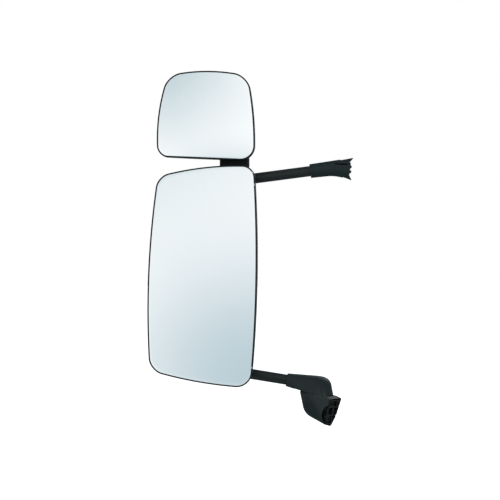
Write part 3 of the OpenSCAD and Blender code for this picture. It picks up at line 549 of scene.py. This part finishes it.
outer = [main_ring(a, MAIN_RIM + b, 1) for a, b in reversed(RIM_ROUND)]
outer += [main_ring(RIM_FOOT * (1 - s), between(MAIN_RIM + RIM_DEPTH, BELT_Y, s),
                    between(1, BELT_DOME, s)) for s in shares(6)]
outer += [main_ring(0, between(BELT_Y, SHOULDER_Y, s), between(BELT_DOME, SHOULDER_DOME, s))
          for s in shares(4)]
outer += [main_ring(s ** 2, between(SHOULDER_Y, PART_Y - 0.7, s), SHOULDER_DOME * (1 - s))
          for s in shares(6)]
outer += [main_ring(1.25, PART_Y - 0.35, 0), main_ring(1.6, PART_Y - SEAM, 0)]
inner = [main_ring(2.6, PART_Y - SEAM, 0), main_ring(1.9, SHOULDER_Y, SHOULDER_DOME),
         main_ring(1.6, BELT_Y, BELT_DOME), main_ring(1.5, MAIN_RIM + 6, 1)]
front = new_object("main_front_shell", loft(outer + inner, loop=True), AT_HEAD)
cut_openings(front)
finish_piece(front, "main_housing", black_plastic)

# ---- Main back cover: a deep shell with a rounded back, a shadow line and drain slots ----
BACK_STEPS = 44
BACK_DEPTH = 53.8
BACK_PULL = 70                   # how far the sides have come in at the back
MAIN_HALF = (109, 221)
MAIN_WALL = 2.3
LINE_STEP, LINE_DEPTH = 30, 0.9  # where the shadow line runs and how deep it is
DRAIN_PLACES = (-120, -97, -74, -51, -28)


def back_ring(wall, k, groove=0.0):
    a = math.radians(90 * k / BACK_STEPS)
    line = shrink(inset(MAIN_OUTLINE, 1 + wall), BACK_PULL * (1 - math.cos(a)), MAIN_HALF)
    if groove:
        line = inset(line, groove * math.cos(a))
    return stand(line, MAIN_MID, PART_Y + SEAM + (BACK_DEPTH - wall - groove) * math.sin(a), MAIN_R, 0)


def groove_at(k):
    """Depth of the moulded shadow line that runs round the back, in millimetres."""
    return LINE_DEPTH * math.exp(-((k - LINE_STEP) / 0.7) ** 2)


def closing(ring, sizes):
    """Rings that close the middle of a ring, each scaled about its middle."""
    centre = sum(ring, Vector()) / len(ring)
    return [[centre + (p - centre) * f for p in ring] for f in sizes]


rings = [main_ring(1.6, PART_Y + SEAM, 0), main_ring(1.15, PART_Y + 0.4, 0)]
rings += [back_ring(0, k, groove_at(k)) for k in range(1, BACK_STEPS + 1)]
rings += closing(rings[-1], (0.8, 0.55, 0.3, 0.1))
inside = [back_ring(MAIN_WALL, k) for k in range(0, BACK_STEPS + 1, 4)]
# The tongue stands inside the front shell, so no light passes through the seam
tongue = [main_ring(by, PART_Y + y, 0) for by, y in ((3.5, -0.4), (3.5, -2.4), (2.75, -2.6), (2.75, SEAM))]
rings = inside[::-1] + tongue + rings
back = new_object("main_back_shell", loft(rings), AT_HEAD)
cut_openings(back)
for x in DRAIN_PLACES:
    cut(back, prism(rounded_box((x - 7, 1), (x + 7, 4), 1.4, 4), -240, -196), AT_HEAD)
finish_piece(back, "main_back_cover", black_plastic)


# ---- Wide-angle housing ----
WIDE_BELT_Y, WIDE_TURN_Y = -44, -22       # where the side begins to come in, and where the back begins
WIDE_BELT_DOME = 0.5
WIDE_STEPS = 30
WIDE_BACK_DEPTH = 34
WIDE_BACK_PULL = 38
WIDE_HALF = (97, 88)
WIDE_WALL = 2
WIDE_EDGE = 0.8                  # inset where the back begins
WIDE_RIM_FOOT = 0.07


def wide_ring(by, y, share):
    return stand(inset(WIDE_OUTLINE, by), WIDE_MID, y, WIDE_R, share)


def wide_back_ring(wall, k, groove=0.0):
    a = math.radians(90 * k / WIDE_STEPS)
    line = shrink(inset(WIDE_OUTLINE, WIDE_EDGE + wall), WIDE_BACK_PULL * (1 - math.cos(a)), WIDE_HALF)
    return stand(line, WIDE_MID, WIDE_TURN_Y + (WIDE_BACK_DEPTH - wall) * math.sin(a) - groove, WIDE_R, 0)


wide_rim = [(a * 0.73, b) for a, b in RIM_ROUND]
rings = [wide_back_ring(WIDE_WALL, k) for k in range(WIDE_STEPS, -1, -5)]
rings += [wide_ring(1.5, WIDE_BELT_Y, WIDE_BELT_DOME), wide_ring(1.2, WIDE_RIM + 6, 1)]
rings += [wide_ring(a, WIDE_RIM + b, 1) for a, b in reversed(wide_rim)]
rings += [wide_ring(WIDE_RIM_FOOT * (1 - s), between(WIDE_RIM + RIM_DEPTH, WIDE_BELT_Y, s),
                    between(1, WIDE_BELT_DOME, s)) for s in shares(8)]
rings += [wide_ring(WIDE_EDGE * s ** 2, between(WIDE_BELT_Y, WIDE_TURN_Y, s), WIDE_BELT_DOME * (1 - s))
          for s in shares(6)[:-1]]
rings += [wide_back_ring(0, k, groove=0.7 * math.exp(-((k - 21) / 0.6) ** 2)) for k in range(WIDE_STEPS + 1)]
rings += closing(rings[-1], (0.75, 0.45, 0.15))
wide = new_object("wide_shell", loft(rings), AT_HEAD)
cut(wide, prism(neck_outline(NECK_RUN), 190, 252.4), AT_HEAD)
finish_piece(wide, "wide_housing", black_plastic)

# ---- Neck sleeve between the two housings ----
sleeve = new_object("neck_sleeve", loft(
    [[Vector((x, y, z)) for x, y in neck_outline(by)] for by, z in
     ((-2, 210), (-0.5, 210), (-0.1, 210.4), (0, 211),
      (0, 220), (-0.35, 220.3), (-0.35, 221.4), (0, 221.7),
      (0, 240.3), (-0.35, 240.6), (-0.35, 241.7), (0, 242),
      (0, 251), (-0.1, 251.6), (-0.5, 252), (-2, 252))],
    loop=True), AT_HEAD)
finish_piece(sleeve, "neck_cover", trim_plastic)

# ---- Elbow cover over the knuckle, and the foot's shroud ----
TO_LOWER_ARM = Matrix.Translation((0, 0, ARM_LIFT)) @ turn(LOWER_SLOPE - LEAN - 90, "Y")
PARTING_R = 34
ELBOW_FOOT = 0.6     # height of the elbow cover's lower edge, and of the foot's upper edge below the parting
SHOULDER_AT = (9, 15.2)      # middle of the round shoulder: distance from the axis, and height
SHOULDER_R = 19.6
COLLAR_R = 13.2


def elbow_points(by, open_by):
    low = ELBOW_FOOT - open_by
    points = circle(PARTING_R - by, low) + circle(PARTING_R - by, 1.6)
    for degrees in range(-60, 91, 3):
        t = math.radians(degrees)
        z = SHOULDER_AT[1] + (SHOULDER_R - by) * math.sin(t)
        if z >= low:
            points += circle(SHOULDER_AT[0] + (SHOULDER_R - by) * math.cos(t), z)
    for z in (58, 64 + open_by):
        points += circle(COLLAR_R - by, z, matrix=TO_LOWER_ARM)
    return points


elbow = new_object("elbow_shell", hull(elbow_points(0, 0)), AT_HINGE, sharp=50)
cut(elbow, hull(elbow_points(2.2, 3)), AT_HINGE)
cut(elbow, slab(-80, 80, 60, -40, ELBOW_FOOT), AT_HINGE)
finish_piece(elbow, "elbow_cover", soft_black)

FACE_REACH, FACE_RISE = 41.5, 31.5        # of the mounting face from the hinge, outwards and down
FOOT_BALL_R, FOOT_BALL_AT = 31, (5, -4, -20)
ARCH_R, ARCH_AT, ARCH_LENGTH = 22, (37.5, -60, -36.5), 35


def face_points(by, a, b):
    return [turn(-FACE_YAW, "Z") @ Vector((FACE_REACH + x, p.x, p.y - FACE_RISE))
            for x in (a, b) for p in inset(FACE_OUTLINE, by)]


def foot_points(by, open_by):
    points = circle(PARTING_R - by, -2) + circle(PARTING_R - by, open_by - ELBOW_FOOT)
    return points + ball(FOOT_BALL_R - by, FOOT_BALL_AT) + face_points(by, -3, -0.5 + open_by)


foot = new_object("foot_shell", hull(foot_points(0, 0)), AT_HINGE, sharp=50)
cut(foot, hull(foot_points(2.5, 2)), AT_HINGE)
cut(foot, slab(-60, 80, 60, -ELBOW_FOOT, 20), AT_HINGE)
notch = slab(-5, 5, 4, -1.5, 1.5)
notch.transform(turn(-FACE_YAW, "Z") @ Matrix.Translation((FACE_REACH, 15, -FACE_RISE - 9)) @ turn(30, "X"))
cut(foot, notch, AT_HINGE)
arch = prism(circle(ARCH_R, 0, 90), 0, ARCH_LENGTH)
arch.transform(Matrix.Translation(ARCH_AT) @ turn(-90, "X"))
cut(foot, arch, AT_HINGE)
finish_piece(foot, "foot_cover", soft_black)

# ---- Shroud at the cab end of the upper arm ----
BOOT_LENGTH, BOOT_MOUTH = 72.7, 19        # from the pivot back along the arm, and on past it
BOOT_WALL = 2.4


def boot_ring(q, by, n=96):
    """The boot's section at a share q of its length: round at the arm, flared and squarer at its mouth."""
    x = -BOOT_LENGTH + q * (BOOT_LENGTH + BOOT_MOUTH)
    flare = max(0, (q - 0.4) / 0.6) ** 1.7
    up, down = 14.2 + 2 * q - by, 14.1 + 2.6 * q + 16.7 * flare - by
    half = 14 + 2 * q + 4.5 * flare - by
    mid, tall, square = (up - down) / 2, (up + down) / 2, 1 - 0.25 * q
    points = []
    for j in range(n):
        c, s = math.cos(2 * math.pi * j / n), math.sin(2 * math.pi * j / n)
        z = mid + tall * math.copysign(abs(s) ** square, s)
        points.append(Vector((x + q * 0.2 * z, half * math.copysign(abs(c) ** square, c), z)))
    return points


def smooth_path(points, shares=(0.12, 0.3, 0.3)):
    """Rounds the corners of an open path."""
    for s in shares:
        path = [points[0]]
        for a, b in zip(points, points[1:]):
            path += [(a[0] * (1 - s) + b[0] * s, a[1] * (1 - s) + b[1] * s),
                     (a[0] * s + b[0] * (1 - s), a[1] * s + b[1] * (1 - s))]
        points = path + [points[-1]]
    return points


def side_prism(outline, half):
    """A solid on an outline in X and Z that reaches half as far to each side in Y."""
    bm = prism(outline, -half, half)
    bm.transform(turn(90, "X"))
    return bm


# Tips and gaps of the fingers at the mouth, and the slit in the side, in X and Z
FINGERS = [(17.9, 14.8), (6.4, 5.6), (13, -3.2), (5, -6.3), (10.9, -12.6), (3.4, -16), (8.6, -31)]
SLIT = [(-20.6, 8.4), (-22, 7.6), (-20.6, 6.4), (8, -0.2), (8, 4.6)]
boot = new_object("boot_shroud", loft([boot_ring(k / 48, 0) for k in range(49)]), AT_ARM_END)
cut(boot, loft([boot_ring(k / 24, BOOT_WALL, 64) for k in range(2, 27)]), AT_ARM_END)
collar_bore = prism(circle(10.8, 0, 64), 0, 12)
collar_bore.transform(Matrix.Translation((-BOOT_LENGTH - 1, 0, 0)) @ turn(90, "Y"))
cut(boot, collar_bore, AT_ARM_END)
edge = smooth_path([(17.9, 24)] + FINGERS + [(8.6, -38)])
cut(boot, side_prism([(40, 40), (17.9, 40)] + edge + [(8.6, -45), (40, -45)], 50), AT_ARM_END)
cut(boot, slab(-9, 41, 9, -45, 45), AT_ARM_END)
cut(boot, side_prism(SLIT, 50), AT_ARM_END)
finish_piece(boot, "upper_boot", soft_black)

# ---- Arm tube: one bent tube ----
TUBE_R, BORE_R = 10.5, 8.5
BEND_R = 0.042                            # the rest of this part's measures are in metres
TUBE_START, TUBE_END = 0.016, 0.026       # from the elbow's middle and before the upper pivot
UP, ACROSS = Vector((0, 0, 1)), Vector((0, 1, 0))


def arm_path():
    """Middle line of the tube in the row frame, in metres."""
    x, y = head.x, head.y
    up = math.tan(math.radians(UPPER_SLOPE))
    down = math.tan(math.radians(LOWER_SLOPE))
    top = Vector((x, y, upper_pivot.z - (upper_pivot.x - x) * up))
    low = Vector((x, y, elbow_point.z + (elbow_point.x - x) * down))
    to_pivot = (upper_pivot - top).normalized()
    to_elbow = (elbow_point - low).normalized()
    path = []

    def straight(a, b, n):
        path.extend(a + (b - a) * k / n for k in range(n))

    def bend(corner, before, after):
        angle = before.angle(after)
        reach = BEND_R * math.tan(angle / 2)
        start = corner - before * reach
        inward = (after - before * before.dot(after)).normalized()
        hub = start + inward * BEND_R
        for k in range(25):
            t = angle * k / 24
            path.append(hub - inward * BEND_R * math.cos(t) + before * BEND_R * math.sin(t))
        return corner + after * reach

    end = upper_pivot - to_pivot * TUBE_END
    reach_low = BEND_R * math.tan(to_elbow.angle(-UP) / 2)
    reach_top = BEND_R * math.tan(to_pivot.angle(UP) / 2)
    straight(elbow_point - to_elbow * TUBE_START, low + to_elbow * reach_low, 24)
    after = bend(low, -to_elbow, UP)
    straight(after, top - UP * reach_top, 40)
    after = bend(top, UP, to_pivot)
    straight(after, end, 24)
    path.append(end)
    return [p for i, p in enumerate(path) if i == 0 or (p - path[i - 1]).length > 1e-6]


def swept(path, n=64):
    """Rings round a path that lies in a plane of constant Y: the outer skin there, the bore back."""
    last = len(path) - 1
    stations = range(last + 1)
    rings = []
    for r, order in ((TUBE_R / 1000, stations), (BORE_R / 1000, stations[::-1])):
        for i in order:
            other = (path[min(i + 1, last)] - path[max(i - 1, 0)]).normalized().cross(ACROSS)
            rings.append([path[i] + r * (ACROSS * math.cos(t) + other * math.sin(t))
                          for t in [2 * math.pi * k / n for k in range(n)]])
    return rings


tube = new_object("arm_tube_skin", loft(swept(arm_path()), loop=True))
finish_piece(tube, "arm_tube", arm_paint)


# ---- Mirror glasses: exact convex domes with a ground edge ----
GLASS_IN = 2.6       # from the housing's outline to the edge of a glass
GLASS_THICK = 3.0
GLASS_EDGE = [(0.55, 0.0), (0.2, 0.12), (0.04, 0.34), (0, 0.7)]    # the ground edge as inset and depth


def dome_glass(name, node, outline, r, apex, mid):
    edge_line = inset(outline, GLASS_IN)

    def ring(points, size, depth, radius):
        return [Vector((mid[0] + p.x * size, apex + depth + sag(p * size, radius), mid[1] + p.y * size))
                for p in points]

    rings = [ring(edge_line, k / 26, 0, r) for k in range(1, 26)]
    rings += [ring(inset(edge_line, by), 1, back, r) for by, back in GLASS_EDGE]
    first_edge_vertex = (len(rings) - 3) * len(edge_line)
    rings.append(ring(edge_line, 1, GLASS_THICK - 0.4, r))
    rings += [ring(edge_line, f, GLASS_THICK, r - GLASS_THICK) for f in (0.997, 0.8, 0.6, 0.4, 0.2, 0.04)]
    glass = new_object(name, loft(rings), AT_HEAD, sharp=60)
    finish_piece(glass, node, mirror_glass)
    glass.data.materials.append(mirror_edge)
    for polygon in glass.data.polygons:
        if max(polygon.vertices) >= first_edge_vertex:
            polygon.material_index = 1


dome_glass("main_mirror_plate", "main_glass", MAIN_OUTLINE, MAIN_R, MAIN_APEX, MAIN_MID)
dome_glass("wide_mirror_plate", "wide_glass", WIDE_OUTLINE, WIDE_R, WIDE_APEX, WIDE_MID)


# ---- Studio ----
def plain_plane(name, size, location, rotation=(0, 0, 0)):
    bm = bmesh.new()
    x, y = size[0] / 2, size[1] / 2
    bm.faces.new([bm.verts.new(p) for p in ((-x, -y, 0), (x, -y, 0), (x, y, 0), (-x, y, 0))])
    data = bpy.data.meshes.new(name)
    bm.to_mesh(data)
    bm.free()
    plane = bpy.data.objects.new(name, data)
    plane.location = location
    plane.rotation_euler = rotation
    scene.collection.objects.link(plane)
    return plane


FLOOR_DROP = 0.2     # of the floor below the mirror, which hangs on its bracket
floor = plain_plane("floor", (40, 40), (0, 0, cad_box[0].z - FLOOR_DROP))
m = Nodes("floor")
m.link(m.colours(m.noise(3, 2), [(0.3, (0.9, 0.9, 0.9)), (0.7, (0.92, 0.92, 0.92))]),
       m.shader.inputs["Base Color"])
m.shader.inputs["Roughness"].default_value = 0.9
m.shader.inputs["Specular IOR Level"].default_value = 0.1
m.shader.inputs["Emission Color"].default_value = (1, 1, 1, 1)
m.shader.inputs["Emission Strength"].default_value = 0.85
floor.data.materials.append(m.material)
floor.visible_glossy = False
floor.visible_diffuse = False

# A large soft panel in front, seen only in reflections: white, fading to pale blue low down and far up left
PANEL_Z = 0.45
panel = plain_plane("soft_panel", (9, 7), (0, -0.42, PANEL_Z), (math.pi / 2, 0, 0))
panel.visible_camera = False
panel.visible_diffuse = False
panel.visible_shadow = False
panel.visible_transmission = False
m = Nodes("soft_panel")
m.tree.nodes.remove(m.shader)


def blob(x, z, radius):
    """1 at a point on the panel, fading smoothly to 0 at a radius, in metres."""
    mapping = m.add("ShaderNodeMapping")
    mapping.inputs["Location"].default_value = (-x, PANEL_Z - z, 0)
    m.link(m.place, mapping.inputs["Vector"])
    length = m.add("ShaderNodeVectorMath", operation="LENGTH")
    m.link(mapping.outputs["Vector"], length.inputs[0])
    fade = m.ramp(length.outputs["Value"], 1, 0, 0, radius)
    fade.node.interpolation_type = "SMOOTHSTEP"
    return fade


colour = m.mix(blob(-0.15, -0.05, 0.62), (1.0, 1.0, 1.0), (0.53, 0.635, 0.685))
colour = m.mix(blob(-0.62, 1.05, 0.95), colour, (0.60, 0.69, 0.72))
glow = m.add("ShaderNodeEmission")
m.link(colour, glow.inputs["Color"])
glow.inputs["Strength"].default_value = 1.02
m.link(glow.outputs[0], m.tree.nodes["Material Output"].inputs["Surface"])
panel.data.materials.append(m.material)

world = bpy.data.worlds.new("studio")
scene.world = world
world.use_nodes = True
tree = world.node_tree
tree.nodes.clear()
ray = tree.nodes.new("ShaderNodeLightPath")
backdrop = tree.nodes.new("ShaderNodeBackground")
backdrop.inputs["Color"].default_value = (1, 1, 1, 1)
ambient = tree.nodes.new("ShaderNodeBackground")
ambient.inputs["Color"].default_value = (0.88, 0.95, 1, 1)
ambient.inputs["Strength"].default_value = 0.42
choose = tree.nodes.new("ShaderNodeMixShader")
output = tree.nodes.new("ShaderNodeOutputWorld")
tree.links.new(ray.outputs["Is Camera Ray"], choose.inputs[0])
tree.links.new(ambient.outputs[0], choose.inputs[1])
tree.links.new(backdrop.outputs[0], choose.inputs[2])
tree.links.new(choose.outputs[0], output.inputs["Surface"])


def soft_light(name, location, size, power, colour=(1, 1, 1)):
    lamp = bpy.data.objects.new(name, bpy.data.lights.new(name, "AREA"))
    lamp.data.size = size
    lamp.data.energy = power
    lamp.data.color = colour
    lamp.location = location
    lamp.rotation_euler = (LOOK_AT - Vector(location)).to_track_quat("-Z", "Y").to_euler()
    scene.collection.objects.link(lamp)


soft_light("key", (-1.0, -3.0, 2.0), 1.8, 42)
soft_light("fill", (2.2, -2.2, 0.9), 1.6, 22, (0.93, 0.97, 1))
soft_light("rim", (1.2, 2.2, 1.8), 1.4, 25)
